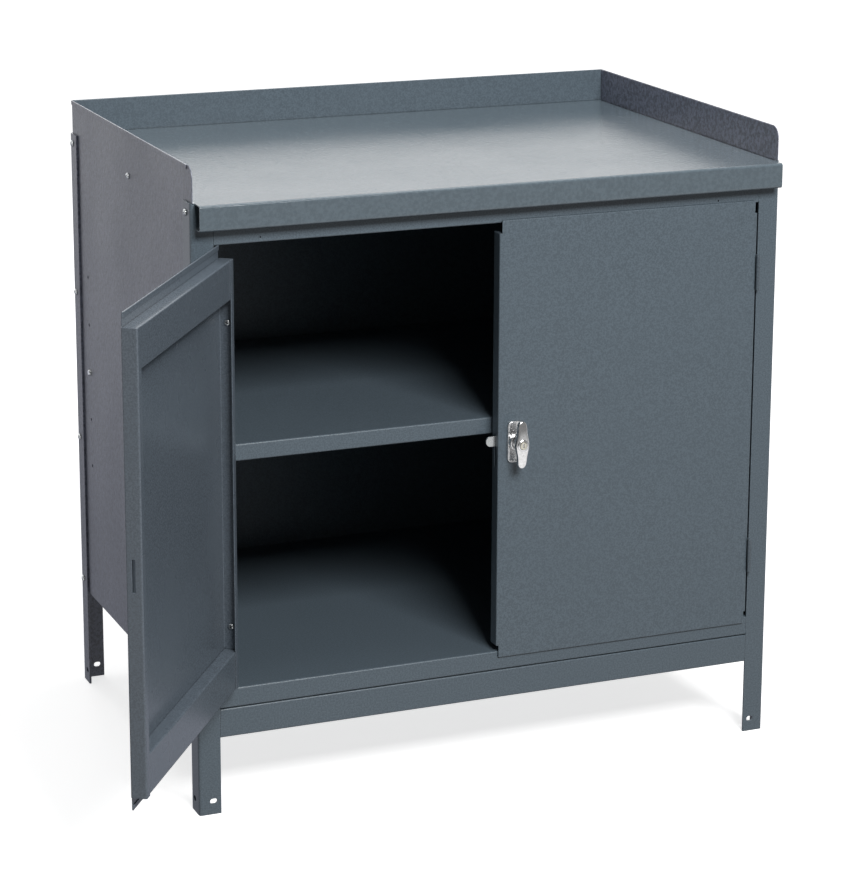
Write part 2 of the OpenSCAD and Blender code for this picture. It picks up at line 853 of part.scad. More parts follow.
module right_upper_hinge_frame_leaf() {
    color("slategray") mirrored_right() at_pin(1) frame_leaf_shape();
}

module right_lower_hinge_frame_leaf() {
    color("slategray") mirrored_right() at_pin(0) frame_leaf_shape();
}

module left_upper_hinge_door_leaf() {
    color("slategray") at_pin(1) on_open_door() door_leaf_shape();
}

module left_lower_hinge_door_leaf() {
    color("slategray") at_pin(0) on_open_door() door_leaf_shape();
}

module right_upper_hinge_door_leaf() {
    color("slategray") mirrored_right() at_pin(1) door_leaf_shape();
}

module right_lower_hinge_door_leaf() {
    color("slategray") mirrored_right() at_pin(0) door_leaf_shape();
}

module left_upper_hinge_pin() {
    color("slategray") at_pin(1) pin_shape();
}

module left_lower_hinge_pin() {
    color("slategray") at_pin(0) pin_shape();
}

module right_upper_hinge_pin() {
    color("slategray") mirrored_right() at_pin(1) pin_shape();
}

module right_lower_hinge_pin() {
    color("slategray") mirrored_right() at_pin(0) pin_shape();
}

// Small pan-head screw: its head's flat side is at the origin, its shank runs along -X
module small_screw(length) {
    translate([-length, 0, 0]) rod_x(small_screw_r, length);
    screw_head(small_head_r, small_head_h);
}

// Screws through the door's hinge fold into the tapped door leaves, drawn in u, v and height
module door_hinge_screws() {
    for (level = hinge_levels) translate([door_t, hinge_screw_v, level]) small_screw(door_t + leaf_t);
}

module left_hinge_screws() {
    color("silver") left_door() door_hinge_screws();
}

module right_hinge_screws() {
    color("silver") right_door() door_hinge_screws();
}

// ---- Handle, drawn about its axis, with the door's face at y = 0 and outwards along -Y ----

// Rounded plate with a chamfered front edge
module plate_blank() {
    hull() for (x = [-1, 1]) for (z = [-1, 1])
        translate([x * (plate_w / 2 - plate_r), 0, z * (plate_h / 2 - plate_r)]) {
            rod_out(plate_r, plate_t - plate_chamfer, $fn = 32);
            rod_out(plate_r - plate_chamfer, plate_t, $fn = 32);
        }
}

// Pocket for the lock bolt in the escutcheon's collar, on the side that +Z is turned to
module bolt_pocket() {
    translate([-bolt_w / 2 - bolt_clear, -bolt_d - bolt_t - bolt_clear, 0])
        cube([bolt_w + 2 * bolt_clear, bolt_t + 2 * bolt_clear, bolt_reach + bolt_travel + bolt_clear]);
}

module escutcheon() {
    color("silver") at_handle() difference() {
        union() {
            plate_blank();
            rod_out(collar_r, plate_t + collar_h);
        }
        translate([0, past, 0]) rod_out(shaft_r + shaft_clear, plate_t + collar_h + 2 * past);
        translate([0, -seat_d, 0]) rod_out(hub_r + shaft_clear, plate_t + collar_h + past);
        for (turned = [90, 180]) rotate([0, turned, 0]) bolt_pocket();
        for (up = [-plate_screw_up, plate_screw_up])
            translate([0, past, up]) rod_out(small_screw_r + thread_clear, plate_t - plate_skin + past);
    }
}

module escutcheon_screws() {
    color("silver") at_handle() for (up = [-plate_screw_up, plate_screw_up])
        translate([0, door_t, up]) rotate([0, 0, 90]) small_screw(door_t + plate_t - past);
}

// Grip outline swept outwards, narrower at its ends and chamfered in front
module grip_blank() {
    end_r = grip_end_w / 2;
    end_z = grip_l / 2 - end_r;
    translate([0, -grip_out, 0]) hull() {
        rod_out(grip_w / 2, grip_t - grip_chamfer, $fn = 32);
        rod_out(grip_w / 2 - grip_chamfer, grip_t, $fn = 32);
        for (z = [-end_z, end_z]) translate([0, 0, z]) {
            rod_out(end_r, grip_t - grip_chamfer, $fn = 32);
            rod_out(end_r - grip_chamfer, grip_t - grip_end_drop, $fn = 32);
        }
    }
}

module handle() {
    color("silver") at_handle() difference() {
        union() {
            grip_blank();
            translate([0, -hub_start, 0]) rod_out(hub_r, grip_out - hub_start + past);
            translate([0, cam_front, 0]) rod_out(shaft_r, cam_front + hub_start + past);
            translate([-square_w / 2, 0, -square_w / 2]) cube([square_w, cam_back - face_gap, square_w]);
            rod_y(stud_r, cam_back + washer_t + cam_nut_t + stud_past);
        }
        translate([0, -plug_back, 0]) rod_out(plug_r + plug_clear, grip_front - plug_back + past);
        translate([0, -bolt_d, 0]) rod_out(peg_offset + peg_r + peg_room, plug_back - bolt_d + past);
        translate([-bolt_w / 2 - bolt_clear, -bolt_d - bolt_t - bolt_clear, -hub_r - past])
            cube([bolt_w + 2 * bolt_clear, bolt_t + 2 * bolt_clear, hub_r + past + bolt_top + bolt_clear]);
    }
}

// Key plug: its peg points to +X when the lock is free, and drives the bolt down as it turns
module lock_plug() {
    color("silver") at_handle() {
        difference() {
            translate([0, -plug_back - face_gap, 0]) rod_out(plug_r, grip_front + plug_proud - plug_back - face_gap);
            translate([-keyway_w / 2, -grip_front - plug_proud - past, -keyway_h / 2])
                cube([keyway_w, keyway_deep + past, keyway_h]);
        }
        translate([peg_offset, -bolt_d - face_gap, 0])
            rod_out(peg_r, plug_back + past - bolt_d - face_gap);
    }
}

// Flat bolt in the hub: its slot lets the peg travel sideways
module lock_bolt() {
    slot_h = 2 * (peg_r + bolt_slack);
    color("silver") at_handle() translate([0, -bolt_d - bolt_t, 0]) difference() {
        translate([-bolt_w / 2, 0, -bolt_reach]) cube([bolt_w, bolt_t, bolt_reach + bolt_top - bolt_clear]);
        translate([-peg_r - bolt_slack, -past, -slot_h / 2])
            cube([bolt_w, bolt_t + 2 * past, slot_h]);
    }
}

module latch_cam() {
    color("silver") at_handle() difference() {
        union() {
            translate([0, cam_front, 0]) rod_y(cam_w / 2, cam_t);
            translate([-cam_l + cam_w / 2, cam_front, -cam_w / 2]) cube([cam_l - cam_w / 2, cam_t, cam_w]);
            translate([-cam_l + cam_w / 2, cam_front, 0]) rod_y(cam_w / 2, cam_t);
        }
        translate([-square_w / 2 - square_clear, cam_front - past, -square_w / 2 - square_clear])
            cube([square_w + 2 * square_clear, cam_t + 2 * past, square_w + 2 * square_clear]);
    }
}

module cam_washer() {
    color("silver") at_handle() translate([0, cam_back, 0]) difference() {
        rod_y(washer_r, washer_t);
        translate([0, -past, 0]) rod_y(stud_r + thread_clear, washer_t + 2 * past);
    }
}

module cam_nut() {
    color("silver") at_handle() translate([0, cam_back + washer_t, 0]) difference() {
        rotate([-90, 0, 0]) cylinder(r = cam_nut_r, h = cam_nut_t, $fn = 6);
        translate([0, -past, 0]) rod_y(stud_r + thread_clear, cam_nut_t + 2 * past);
    }
}

front_left_post();
front_right_post();
rear_left_post();
rear_right_post();
left_side_panel();
right_side_panel();
back_panel();
worktop();
top_rail();
kick_rail();
bottom_shelf();
middle_shelf();
left_panel_screws();
left_panel_nuts();
right_panel_screws();
right_panel_nuts();
back_panel_screws();
back_panel_nuts();
shelf_screws();
shelf_nuts();
left_door_panel();
left_door_top_channel();
left_door_bottom_channel();
right_door_panel();
right_door_top_channel();
right_door_bottom_channel();
left_upper_hinge_frame_leaf();
left_upper_hinge_door_leaf();
left_upper_hinge_pin();
left_lower_hinge_frame_leaf();
left_lower_hinge_door_leaf();
left_lower_hinge_pin();
right_upper_hinge_frame_leaf();
right_upper_hinge_door_leaf();
right_upper_hinge_pin();
right_lower_hinge_frame_leaf();
right_lower_hinge_door_leaf();
right_lower_hinge_pin();
left_hinge_screws();
right_hinge_screws();
escutcheon();
escutcheon_screws();
handle();
lock_plug();
lock_bolt();
latch_cam();
cam_washer();
cam_nut();
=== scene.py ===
"""Looks of a bench-height steel storage cabinet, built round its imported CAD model.

The CAD sheets, posts, rails and hinges stay as they are and get enamel. The screws, the handle, its
escutcheon and its key plug are replaced by finer pieces that sit in the same places.
"""
import json
import math

import bmesh
import bpy
from mathutils import Matrix, Vector

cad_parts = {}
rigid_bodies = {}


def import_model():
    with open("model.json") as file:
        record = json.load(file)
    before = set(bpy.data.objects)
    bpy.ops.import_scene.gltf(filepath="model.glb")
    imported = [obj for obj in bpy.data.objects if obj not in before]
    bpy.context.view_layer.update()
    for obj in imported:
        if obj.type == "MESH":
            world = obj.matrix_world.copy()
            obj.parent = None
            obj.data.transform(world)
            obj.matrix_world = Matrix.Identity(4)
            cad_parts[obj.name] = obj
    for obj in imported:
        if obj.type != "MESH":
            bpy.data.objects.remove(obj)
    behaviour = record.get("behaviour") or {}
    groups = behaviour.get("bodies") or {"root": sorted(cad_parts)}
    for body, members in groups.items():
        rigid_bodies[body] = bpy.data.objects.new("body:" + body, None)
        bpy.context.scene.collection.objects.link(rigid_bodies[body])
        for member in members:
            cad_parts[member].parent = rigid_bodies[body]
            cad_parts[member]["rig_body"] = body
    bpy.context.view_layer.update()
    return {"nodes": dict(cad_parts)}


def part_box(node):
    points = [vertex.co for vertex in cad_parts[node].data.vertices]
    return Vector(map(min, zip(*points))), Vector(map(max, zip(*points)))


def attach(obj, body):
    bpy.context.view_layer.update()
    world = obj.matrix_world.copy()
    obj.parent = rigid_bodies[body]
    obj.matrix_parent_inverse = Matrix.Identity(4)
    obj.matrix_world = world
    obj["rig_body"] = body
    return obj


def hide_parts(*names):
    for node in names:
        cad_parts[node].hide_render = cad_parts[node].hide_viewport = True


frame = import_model()

MM = 0.001
SQUARE = ((-1, -1), (1, -1), (1, 1), (-1, 1))
WHITE = (1.0, 1.0, 1.0, 1.0)
NODES = frame["nodes"]


# ---- Measures taken from the frame ----

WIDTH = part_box("front_right_post")[1].x
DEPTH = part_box("rear_left_post")[1].y
DOOR_FACE_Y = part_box("right_door_panel")[0].y


# ---- Material parts ----

def new_material(name):
    """A node material with only its output and shader, and a short way to add nodes."""
    material = bpy.data.materials.new(name)
    material.use_nodes = True
    tree = material.node_tree
    tree.nodes.clear()
    output = tree.nodes.new("ShaderNodeOutputMaterial")
    shader = tree.nodes.new("ShaderNodeBsdfPrincipled")
    tree.links.new(shader.outputs["BSDF"], output.inputs["Surface"])
    return material, tree, shader


def place_in(tree, space):
    """A texture coordinate, such as Object or Generated."""
    return tree.nodes.new("ShaderNodeTexCoord").outputs[space]


def place(tree):
    """Object coordinates in metres, which are the CAD frame's for every piece."""
    return place_in(tree, "Object")


def noise(tree, vector, scale, detail=2.0, roughness=0.5):
    """Noise from about 0.3 to 0.7, whose scale is per metre in object coordinates."""
    node = tree.nodes.new("ShaderNodeTexNoise")
    node.inputs["Scale"].default_value = scale
    node.inputs["Detail"].default_value = detail
    node.inputs["Roughness"].default_value = roughness
    tree.links.new(vector, node.inputs["Vector"])
    return node.outputs["Fac"]


def stretched(tree, vector, scale):
    """The coordinates scaled by a different amount on each axis."""
    node = tree.nodes.new("ShaderNodeMapping")
    node.inputs["Scale"].default_value = scale
    tree.links.new(vector, node.inputs["Vector"])
    return node.outputs["Vector"]


def to_range(tree, value, low, high, new_low, new_high):
    """The value taken from one range to another, and held inside the new one."""
    node = tree.nodes.new("ShaderNodeMapRange")
    for socket, number in (("From Min", low), ("From Max", high), ("To Min", new_low), ("To Max", new_high)):
        node.inputs[socket].default_value = number
    tree.links.new(value, node.inputs["Value"])
    return node.outputs["Result"]


def arithmetic(tree, operation, a, b):
    """A maths node on two numbers or sockets."""
    node = tree.nodes.new("ShaderNodeMath")
    node.operation = operation
    for socket, value in zip(node.inputs, (a, b)):
        if isinstance(value, (int, float)):
            socket.default_value = value
        else:
            tree.links.new(value, socket)
    return node.outputs["Value"]


def mixed(tree, factor, a, b):
    """Colour a where the factor is 0 and b where it is 1. Each may be a colour or a socket."""
    node = tree.nodes.new("ShaderNodeMix")
    node.data_type = "RGBA"
    tree.links.new(factor, node.inputs["Factor"])
    for name, value in (("A", a), ("B", b)):
        socket = [s for s in node.inputs if s.name == name and s.type == "RGBA"][0]
        if isinstance(value, (tuple, list)):
            socket.default_value = value
        else:
            tree.links.new(value, socket)
    return [s for s in node.outputs if s.type == "RGBA"][0]


def bumped(tree, shader, height, distance, strength=1.0, edge_radius=0.0):
    """Bump from a height, over edges that are softened by the given radius."""
    bump = tree.nodes.new("ShaderNodeBump")
    bump.inputs["Strength"].default_value = strength
    bump.inputs["Distance"].default_value = distance
    tree.links.new(height, bump.inputs["Height"])
    if edge_radius:
        bevel = tree.nodes.new("ShaderNodeBevel")
        bevel.samples = 4
        bevel.inputs["Radius"].default_value = edge_radius
        tree.links.new(bevel.outputs["Normal"], bump.inputs["Normal"])
    tree.links.new(bump.outputs["Normal"], shader.inputs["Normal"])


def srgb(r, g, b):
    """A colour given as 0 to 255, in linear light."""
    def linear(v):
        v /= 255
        return v / 12.92 if v <= 0.04045 else ((v + 0.055) / 1.055) ** 2.4
    return (linear(r), linear(g), linear(b), 1.0)


def edge_mask(tree, radius):
    """1 on convex edges and 0 on flats, from how far a rounded normal leans from the true one."""
    bevel = tree.nodes.new("ShaderNodeBevel")
    bevel.samples = 4
    bevel.inputs["Radius"].default_value = radius
    geometry = tree.nodes.new("ShaderNodeNewGeometry")
    dot = tree.nodes.new("ShaderNodeVectorMath")
    dot.operation = "DOT_PRODUCT"
    tree.links.new(bevel.outputs["Normal"], dot.inputs[0])
    tree.links.new(geometry.outputs["Normal"], dot.inputs[1])
    return to_range(tree, dot.outputs["Value"], 0.995, 0.85, 0.0, 1.0)


def painted_crevice_shade(tree, reach, dark):
    """Painted shade: 1 in the open, falling to dark deep in joints, holes and inner corners within reach."""
    shade = tree.nodes.new("ShaderNodeAmbientOcclusion")
    shade.samples = 8
    shade.inputs["Distance"].default_value = reach
    return to_range(tree, shade.outputs["AO"], 0.15, 0.75, dark, 1.0)


def dimmed(tree, colour, factor):
    """The colour times the factor."""
    node = tree.nodes.new("ShaderNodeVectorMath")
    node.operation = "SCALE"
    tree.links.new(colour, node.inputs[0])
    tree.links.new(factor, node.inputs["Scale"])
    return node.outputs["Vector"]


def enamel(name, base, roughness=0.30, peel=1.0, speckle=0.2, dust=0.0, grain_scale=420):
    """Baked enamel on sheet steel: orange peel, grain, slow drift of shade, edges lightened partly by wear of
    the paint and partly as a painted highlight, and painted shade in joints and inner corners. grain_scale is
    the grain's frequency per metre, and peel the depth of its bumps."""
    material, tree, shader = new_material(name)
    where = place(tree)
    grit = noise(tree, where, grain_scale, detail=2.0, roughness=0.7)
    cloud = noise(tree, where, 5.5, detail=3.0)
    lighter = tuple(min(1.0, c * (1 + speckle)) for c in base[:3]) + (1.0,)
    darker = tuple(c * (1 - speckle) for c in base[:3]) + (1.0,)
    grain = mixed(tree, to_range(tree, grit, 0.40, 0.60, 0, 1), darker, lighter)
    drift = mixed(tree, to_range(tree, cloud, 0.3, 0.7, 0.0, 0.3), grain, base)
    scuffs = noise(tree, stretched(tree, where, (1.0, 1.0, 6.0)), 38, detail=4.0, roughness=0.7)
    # Edges lightened: partly paint rubbed down by wear, partly a painted highlight along bends.
    worn_and_highlit = arithmetic(tree, "MULTIPLY", edge_mask(tree, 0.0012), to_range(tree, scuffs, 0.4, 0.7, 0.25, 0.9))
    thin_paint_and_highlight = tuple(min(1.0, c * 2.4 + 0.03) for c in base[:3]) + (1.0,)
    colour = mixed(tree, worn_and_highlit, drift, thin_paint_and_highlight)
    # Painted shade: the enamel's colour is darkened in joints, holes and inner corners.
    tree.links.new(dimmed(tree, colour, painted_crevice_shade(tree, 0.004, 0.15)), shader.inputs["Base Color"])
    patchy = arithmetic(tree, "ADD", to_range(tree, cloud, 0.3, 0.7, roughness - 0.02, roughness + 0.04),
                        to_range(tree, scuffs, 0.55, 0.8, 0.0, dust))
    tree.links.new(patchy, shader.inputs["Roughness"])
    shader.inputs["IOR"].default_value = 1.5
    shader.inputs["Specular IOR Level"].default_value = 0.5
    fine = noise(tree, where, grain_scale * 0.9, detail=2.0, roughness=0.6)
    waves = noise(tree, where, 9.0, detail=1.0)
    height = arithmetic(tree, "ADD", arithmetic(tree, "MULTIPLY", fine, 0.14 * peel),
                        arithmetic(tree, "MULTIPLY", waves, 0.4))
    bumped(tree, shader, height, 0.001, strength=0.7, edge_radius=0.0008)
    return material


def zinc(name):
    """Bright zinc plate: cool grey with a faint yellow cast in patches, and fine rubbing."""
    material, tree, shader = new_material(name)
    where = place(tree)
    patches = noise(tree, where, 900, detail=3.0)
    colour = mixed(tree, to_range(tree, patches, 0.35, 0.65, 0, 1), srgb(186, 190, 194), srgb(208, 210, 209))
    # Painted shade: the zinc's colour is darkened in screw recesses, joints and inner corners.
    tree.links.new(dimmed(tree, colour, painted_crevice_shade(tree, 0.0025, 0.04)), shader.inputs["Base Color"])
    shader.inputs["Metallic"].default_value = 1.0
    tree.links.new(to_range(tree, patches, 0.3, 0.7, 0.22, 0.38), shader.inputs["Roughness"])
    bumped(tree, shader, noise(tree, where, 4200, detail=2.0), 0.00005, strength=0.5, edge_radius=0.0002)
    return material


def chrome(name, polish=0.09):
    """Chrome plate over a die casting: bright, with faint pits and hairline wear."""
    material, tree, shader = new_material(name)
    where = place(tree)
    film = noise(tree, where, 260, detail=4.0, roughness=0.65)
    colour = mixed(tree, to_range(tree, film, 0.35, 0.7, 0, 1), srgb(228, 228, 229), srgb(204, 204, 203))
    # Painted shade: the chrome's colour is darkened in hollows and where the grip meets the plate.
    tree.links.new(dimmed(tree, colour, painted_crevice_shade(tree, 0.003, 0.1)), shader.inputs["Base Color"])
    shader.inputs["Metallic"].default_value = 1.0
    tree.links.new(to_range(tree, film, 0.4, 0.75, polish, polish + 0.16), shader.inputs["Roughness"])
    bumped(tree, shader, noise(tree, where, 700, detail=3.0), 0.00006, strength=0.35, edge_radius=0.0003)
    return material


def plug_finish(name):
    """Nickel-plated key plug: finely brushed round its axis, yellowed by wear, with painted shade darkening the
    keyway.
    """
    material, tree, shader = new_material(name)
    where = place(tree)
    rub = noise(tree, where, 1500, detail=3.0)
    colour = mixed(tree, to_range(tree, rub, 0.35, 0.65, 0, 1), srgb(214, 208, 190), srgb(226, 224, 216))
    # Painted shade: the plug's colour is darkened down the keyway.
    tree.links.new(dimmed(tree, colour, painted_crevice_shade(tree, 0.0012, 0.02)), shader.inputs["Base Color"])
    shader.inputs["Metallic"].default_value = 1.0
    tree.links.new(to_range(tree, rub, 0.3, 0.7, 0.28, 0.42), shader.inputs["Roughness"])
    bumped(tree, shader, rub, 0.00005, strength=0.4)
    return material


def floor_finish(name, clear_r, white_r):
    """Pale matt studio floor that fades into a lit white backdrop between two distances from its middle."""
    material, tree, shader = new_material(name)
    where = place(tree)
    shade = noise(tree, where, 1.5, detail=2.0)
    colour = mixed(tree, to_range(tree, shade, 0.3, 0.7, 0, 1), (0.86, 0.86, 0.86, 1), (0.88, 0.88, 0.88, 1))
    tree.links.new(colour, shader.inputs["Base Color"])
    shader.inputs["Roughness"].default_value = 0.9
    shader.inputs["Specular IOR Level"].default_value = 0.1
    distance = tree.nodes.new("ShaderNodeVectorMath")
    distance.operation = "LENGTH"
    tree.links.new(where, distance.inputs[0])
    shader.inputs["Emission Color"].default_value = WHITE
    tree.links.new(to_range(tree, distance.outputs["Value"], clear_r, white_r, 0.74, 1.0),
                   shader.inputs["Emission Strength"])
    return material


paint_front = enamel("enamel_front", srgb(88, 100, 109), roughness=0.34)
# Side enamel: its bluer, lighter base than the front enamel is a painted cool reflection; its coarser grain and
# deeper peel are its texture.
paint_side_painted_reflection = enamel("enamel_side_painted_reflection", srgb(100, 104, 118), roughness=0.36, peel=4.5, speckle=0.40,
                    grain_scale=170)
paint_top = enamel("enamel_worktop", srgb(93, 105, 113), roughness=0.16, peel=3.6, speckle=0.10, dust=0.03,
                   grain_scale=200)
paint_left_door = enamel("enamel_left_door", srgb(90, 99, 108), roughness=0.26, peel=0.6)
paint_hinge = enamel("enamel_hinges", srgb(80, 90, 98), roughness=0.32)
zinc_plate = zinc("zinc_plate")
chrome_plate = chrome("chrome_plate")
plate_finish = chrome("escutcheon_plate", polish=0.22)
plug_plate = plug_finish("key_plug_plate")

FINISHES = {
    paint_side_painted_reflection: ["left_side_panel", "right_side_panel", "rear_left_post", "rear_right_post"],
    paint_top: ["worktop"],
    paint_left_door: ["left_door_panel", "left_door_top_channel", "left_door_bottom_channel"],
    paint_front: ["front_left_post", "front_right_post", "top_rail", "kick_rail", "middle_shelf",
                  "bottom_shelf", "back_panel", "right_door_panel", "right_door_top_channel",
                  "right_door_bottom_channel"],
    paint_hinge: [n for n in NODES if "_hinge_" in n and "screws" not in n],
    zinc_plate: [n for n in NODES if n.endswith(("_screws", "_nuts"))] + [
        "latch_cam", "cam_washer", "cam_nut", "lock_bolt"],
    chrome_plate: ["handle"],
    plate_finish: ["escutcheon"],
    plug_plate: ["lock_plug"],
}


def give(piece, material):
    """Sets a piece's only material."""
    piece.data.materials.clear()
    piece.data.materials.append(material)


for material, names in FINISHES.items():
    for name in names:
        give(NODES[name], material)


# ---- Mesh parts ----

def piece_from(name, shape, smooth_angle=35):
    """An object from a bmesh, smooth but for edges sharper than the angle."""
    bmesh.ops.recalc_face_normals(shape, faces=shape.faces)
    mesh = bpy.data.meshes.new(name)
    for face in shape.faces:
        face.smooth = True
    for edge in shape.edges:
        if len(edge.link_faces) == 2 and edge.calc_face_angle(0.0) > math.radians(smooth_angle):
            edge.smooth = False
    shape.to_mesh(mesh)
    shape.free()
    piece = bpy.data.objects.new(name, mesh)
    bpy.context.scene.collection.objects.link(piece)
    return piece


def turned(shape, profile, segments=48):
    """Adds a closed solid of revolution about +Z from (radius, height) points, first and last on the axis."""
    rings = []
    for radius, height in profile:
        if radius < 1e-9:
            rings.append([shape.verts.new((0, 0, height))])
            continue
        angles = [2 * math.pi * i / segments for i in range(segments)]
        rings.append([shape.verts.new((radius * math.cos(a), radius * math.sin(a), height)) for a in angles])
    for low, high in zip(rings, rings[1:]):
        for i in range(segments):
            j = (i + 1) % segments
            if len(low) == 1:
                shape.faces.new((low[0], high[i], high[j]))
            elif len(high) == 1:
                shape.faces.new((low[i], low[j], high[0]))
            else:
                shape.faces.new((low[i], low[j], high[j], high[i]))


def lofted(shape, rings):
    """Adds a closed solid through rings of points, each end closed by one face."""
    rows = [[shape.verts.new(point) for point in ring] for ring in rings]
    count = len(rows[0])
    for low, high in zip(rows, rows[1:]):
        for i in range(count):
            j = (i + 1) % count
            shape.faces.new((low[i], low[j], high[j], high[i]))
    shape.faces.new(rows[0])
    shape.faces.new(rows[-1])


def cut(piece, cutter):
    """Takes the cutter out of the piece and removes the cutter."""
    modifier = piece.modifiers.new("cut", "BOOLEAN")
    modifier.object = cutter
    modifier.solver = "EXACT"
    depsgraph = bpy.context.evaluated_depsgraph_get()
    result = bpy.data.meshes.new_from_object(piece.evaluated_get(depsgraph))
    piece.modifiers.clear()
    piece.data = result
    bpy.data.objects.remove(cutter)
    return piece


def solids(node):
    """The vertices of each separate solid in a CAD node, in order of place, lowest first."""
    mesh = NODES[node].data
    shape = bmesh.new()
    shape.from_mesh(mesh)
    bmesh.ops.remove_doubles(shape, verts=shape.verts, dist=1e-6)
    found, left = [], set(shape.verts)
    while left:
        group, queue = set(), [left.pop()]
        while queue:
            vert = queue.pop()
            group.add(vert)
            for edge in vert.link_edges:
                other = edge.other_vert(vert)
                if other in left:
                    left.discard(other)
                    queue.append(other)
        found.append([vert.co.copy() for vert in group])
    shape.free()
    return sorted(found, key=lambda points: [round(min(point[k] for point in points), 5) for k in (2, 1, 0)])


def along(axis):
    """A rotation that turns +Z to the axis."""
    return Vector(axis).to_track_quat("Z", "Y").to_matrix().to_4x4()


def extent(points, direction):
    """Lowest and highest reach of the points along a direction."""
    reach = [point.dot(direction) for point in points]
    return min(reach), max(reach)


# ---- Screws ----

def pan_head_screw(name, shank_r, head_r, head_h, length, pitch):
    """Cross-recessed pan-head screw along +Z: its head stands on z = 0 and its shank goes down."""
    shape = bmesh.new()
    start, run = pitch * 0.4 - length, length - pitch * 0.8
    turns = max(3, int(run / pitch))
    profile = [(0, -length), (shank_r * 0.8, -length), (shank_r * 0.98, start)]
    for i in range(turns):
        low = start + run * i / turns
        profile += [(shank_r * 0.84, low + run / turns * 0.5), (shank_r * 0.98, low + run / turns)]
    profile += [(shank_r * 0.98, 0), (head_r * 0.97, 0), (head_r, head_h * 0.08)]
    crown = 9
    for i in range(crown):
        angle = math.pi / 2 * i / crown
        profile.append((head_r * (1 - 0.62 * (1 - math.cos(angle))),
                        head_h * (0.24 + 0.70 * math.sin(angle))))
    profile += [(head_r * 0.25, head_h * 0.99), (0, head_h)]
    turned(shape, profile)
    screw = piece_from(name, shape)
    reach, half_w, depth = head_r * 0.66, head_r * 0.17, head_h * 0.8
    for quarter in (0, math.pi / 2):
        wing = bmesh.new()
        lofted(wing, [[(x * reach * k, y * half_w * k, z) for x, y in SQUARE]
                      for z, k in ((head_h - depth, 0.5), (head_h * 1.2, 1.15))])
        cutter = piece_from(name + "_cutter", wing)
        cutter.data.transform(Matrix.Rotation(quarter, 4, "Z"))
        cut(screw, cutter)
    return screw


def screws_like(node, axis, pitch):
    """One piece of cross-recessed screws that stand where a CAD node's plain ones do, heads along the axis."""
    axis = Vector(axis).normalized()
    side = axis.orthogonal().normalized()
    other = axis.cross(side)
    merged = bmesh.new()
    for index, points in enumerate(solids(node)):
        low, high = extent(points, axis)
        centre = side * sum(extent(points, side)) / 2 + other * sum(extent(points, other)) / 2
        radial = [(point - centre - axis * point.dot(axis)).length for point in points]
        head_r = max(radial)
        seat = min(point.dot(axis) for point, r in zip(points, radial) if r > head_r * 0.95)
        shank_r = max(r for point, r in zip(points, radial) if point.dot(axis) < low + 0.1 * MM)
        screw = pan_head_screw(f"{node}_{index}", shank_r, head_r, high - seat, seat - low, pitch)
        screw.data.transform(Matrix.Translation(centre + axis * seat) @ along(axis)
                             @ Matrix.Rotation(0.7 * index + 0.3, 4, "Z"))
        merged.from_mesh(screw.data)
        bpy.data.objects.remove(screw)
    return replacing(piece_from(node + "_detail", merged), node, zinc_plate)


def replacing(piece, node, material):
    """Lets a finer piece stand for a CAD node, on the same body."""
    give(piece, material)
    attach(piece, NODES[node]["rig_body"])
    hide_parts(node)
    return piece


left_open = math.radians(125)  # the left door's angle at rest, which turns its screws' axis
screws_like("left_panel_screws", (-1, 0, 0), 1.0 * MM)
screws_like("right_panel_screws", (1, 0, 0), 1.0 * MM)
screws_like("back_panel_screws", (0, 1, 0), 1.0 * MM)
screws_like("left_hinge_screws", (math.cos(left_open), -math.sin(left_open), 0), 0.7 * MM)
screws_like("right_hinge_screws", (-1, 0, 0), 0.7 * MM)
screws_like("escutcheon_screws", (0, 1, 0), 0.7 * MM)


# ---- Escutcheon and handle, drawn about the handle's axis with +Z out of the door ----

grip_low, grip_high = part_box("handle")
plate_low, plate_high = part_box("escutcheon")
plug_low, plug_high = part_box("lock_plug")
plug_barrel_back = 11.8 * MM  # how far in front of the door the plug's barrel starts
axis_x, axis_z = (plate_low.x + plate_high.x) / 2, (plate_low.z + plate_high.z) / 2
OUT_OF_DOOR = Matrix.Translation((axis_x, DOOR_FACE_Y, axis_z)) @ Matrix.Rotation(math.pi / 2, 4, "X")


def rounded_rectangle(half_w, half_h, radius, z, steps=8):
    """A ring of points round a rectangle with rounded corners, at height z."""
    points = []
    for corner, (sx, sy) in enumerate(((1, 1), (-1, 1), (-1, -1), (1, -1))):
        for i in range(steps + 1):
            angle = math.pi / 2 * (corner + i / steps)
            points.append((sx * (half_w - radius) + radius * math.cos(angle),
                           sy * (half_h - radius) + radius * math.sin(angle), z))
    return points


def escutcheon_detail():
    """Cast plate with a rolled rim and a shallow dish, and the collar that the handle turns in."""
    shape = bmesh.new()
    half_w, half_h = (plate_high.x - plate_low.x) / 2, (plate_high.z - plate_low.z) / 2
    plate_t, corner_r = 4 * MM, 7 * MM
    rim = [(0, 0), (0, 0.45), (0.05, 0.62), (0.18, 0.80), (0.40, 0.93), (0.75, 0.99), (1.15, 1.0),
           (1.7, 0.97), (2.3, 0.86), (3.2, 0.80), (5.0, 0.78)]
    lofted(shape, [rounded_rectangle(half_w - inset * MM, half_h - inset * MM, corner_r - inset * MM * 0.9,
                                     plate_t * height) for inset, height in rim])
    collar_top = DOOR_FACE_Y - plate_low.y
    profile = [(0, 2.6), (13.2, 2.6), (13.2, 4.4), (12.95, 5.4), (12.6, 7.6), (12.3, 8.8), (11.9, 9.5),
               (11.3, 9.9), (10.6, 10.0), (9.6, 10.0), (9.2, 9.8), (9.1, 9.4), (9.1, 3.2), (0, 3.2)]
    scale = collar_top / 10
    turned(shape, [(r * MM, h * scale) for r, h in profile], segments=72)
    piece = piece_from("escutcheon_detail", shape, smooth_angle=50)
    piece.data.transform(OUT_OF_DOOR)
    return replacing(piece, "escutcheon", plate_finish)


